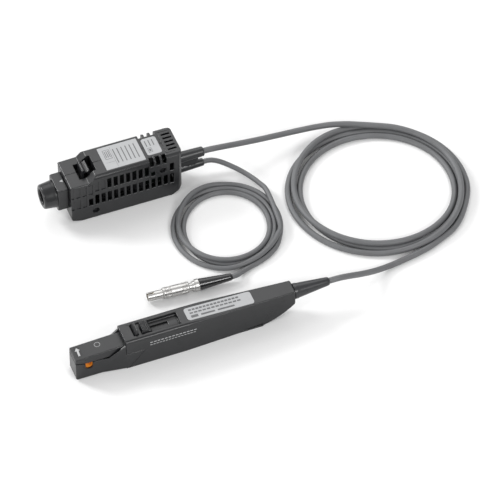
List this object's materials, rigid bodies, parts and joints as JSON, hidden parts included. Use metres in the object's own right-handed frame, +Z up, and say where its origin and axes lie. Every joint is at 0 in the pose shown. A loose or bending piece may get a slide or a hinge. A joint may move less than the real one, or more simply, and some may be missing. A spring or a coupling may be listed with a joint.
{
  "type": "oscilloscope current probe",
  "caption": "Clamp-on current probe for an oscilloscope: slim sensor head with a sliding jaw, vented terminator box with a bayonet coaxial connector, coiled cords and a push-pull power plug.",
  "frame": {"origin": "on the standing surface, below the middle of the box round the sensor head and the terminator, cords and plug left out", "axes": "+X along the sensor head from the jaw tip to its cord, +Y from the sensor head to the terminator, +Z up"},
  "size_m": [0.3174, 0.1642, 0.0402],
  "materials": {
    "case_plastic": "fine-grained moulded plastic",
    "dark_plastic": "smooth dark plastic",
    "sleeve_rubber": "satin moulded elastomer",
    "boot_rubber": "glossy black elastomer",
    "core_alloy": "ground laminated alloy",
    "copper_wire": "enamelled copper",
    "orange_liner": "satin orange plastic",
    "board": "solder-masked glass laminate",
    "component_black": "moulded component bodies",
    "spring_steel": "tinned spring steel",
    "screw_steel": "blackened steel",
    "label": "silver-grey printed film",
    "aluminium": "extruded aluminium",
    "nickel": "satin nickel plate",
    "white_insulator": "white fluoropolymer",
    "gold_contact": "gold plate",
    "contact_insulator": "natural moulded polymer",
    "cord_jacket": "satin grey elastomer jacket",
    "print_dark": "dark printing ink",
    "print_white": "white printing ink"
  },
  "bodies": {
    "root": {"sensor_housing": "case_plastic", "sensor_base": "case_plastic", "base_screws": "screw_steel", "lower_jaw": "case_plastic", "lower_jaw_cover": "dark_plastic", "lower_core": "core_alloy", "feedback_winding": "copper_wire", "hall_element": "dark_plastic", "opening_liner": "orange_liner", "detent_leaf": "spring_steel", "sensor_board": "board", "sensor_board_parts": "component_black", "sensor_shield": "spring_steel", "sensor_label": "label", "sensor_cord_clamp": "spring_steel", "sensor_strain_relief": "sleeve_rubber", "terminator_shell_near": "case_plastic", "terminator_shell_far": "case_plastic", "shell_screws": "screw_steel", "connector_block": "case_plastic", "connector_collar": "case_plastic", "connector_sleeve": "nickel", "connector_insulator": "white_insulator", "connector_pin": "gold_contact", "lock_spring": "spring_steel", "terminator_board": "board", "board_parts": "component_black", "amplifier_shield": "spring_steel", "heat_sink": "aluminium", "vent_cover": "case_plastic", "terminator_label_front": "label", "terminator_label_rear": "label", "twin_strain_relief": "sleeve_rubber", "sensor_cord_lead": "cord_jacket", "sensor_cord_coil": "cord_jacket", "sensor_cord_tail": "cord_jacket", "power_cord_lead": "cord_jacket", "power_cord_coil": "cord_jacket", "power_cord_tail": "cord_jacket", "plug_nose": "nickel", "plug_insert": "contact_insulator", "plug_contacts": "gold_contact", "plug_body": "nickel", "plug_nut": "nickel", "plug_boot": "boot_rubber"},
    "jaw": {"upper_jaw": "case_plastic", "upper_core": "core_alloy", "upper_liner": "orange_liner", "jaw_carriage": "dark_plastic", "opening_lever": "case_plastic"},
    "lock": {"lock_lever": "case_plastic", "lock_latch": "spring_steel"},
    "plug_sleeve": {"plug_latch_sleeve": "nickel"}
  },
  "joints": [
    {"name": "jaw_slide", "type": "slide", "parent": "root", "child": "jaw", "axis": [1, 0, 0], "range_m": [0, 0.0165]},
    {"name": "lock_slide", "type": "slide", "parent": "root", "child": "lock", "axis": [1, 0, 0], "range_m": [0, 0.003], "stiffness_N_per_m": 200, "springref_m": -0.002, "deforming": ["lock_spring"]},
    {"name": "plug_sleeve_slide", "type": "slide", "parent": "root", "child": "plug_sleeve", "axis": [0.9981, -0.061, 0], "range_m": [0, 0.0015], "stiffness_N_per_m": 300, "springref_m": -0.001}
  ]
}
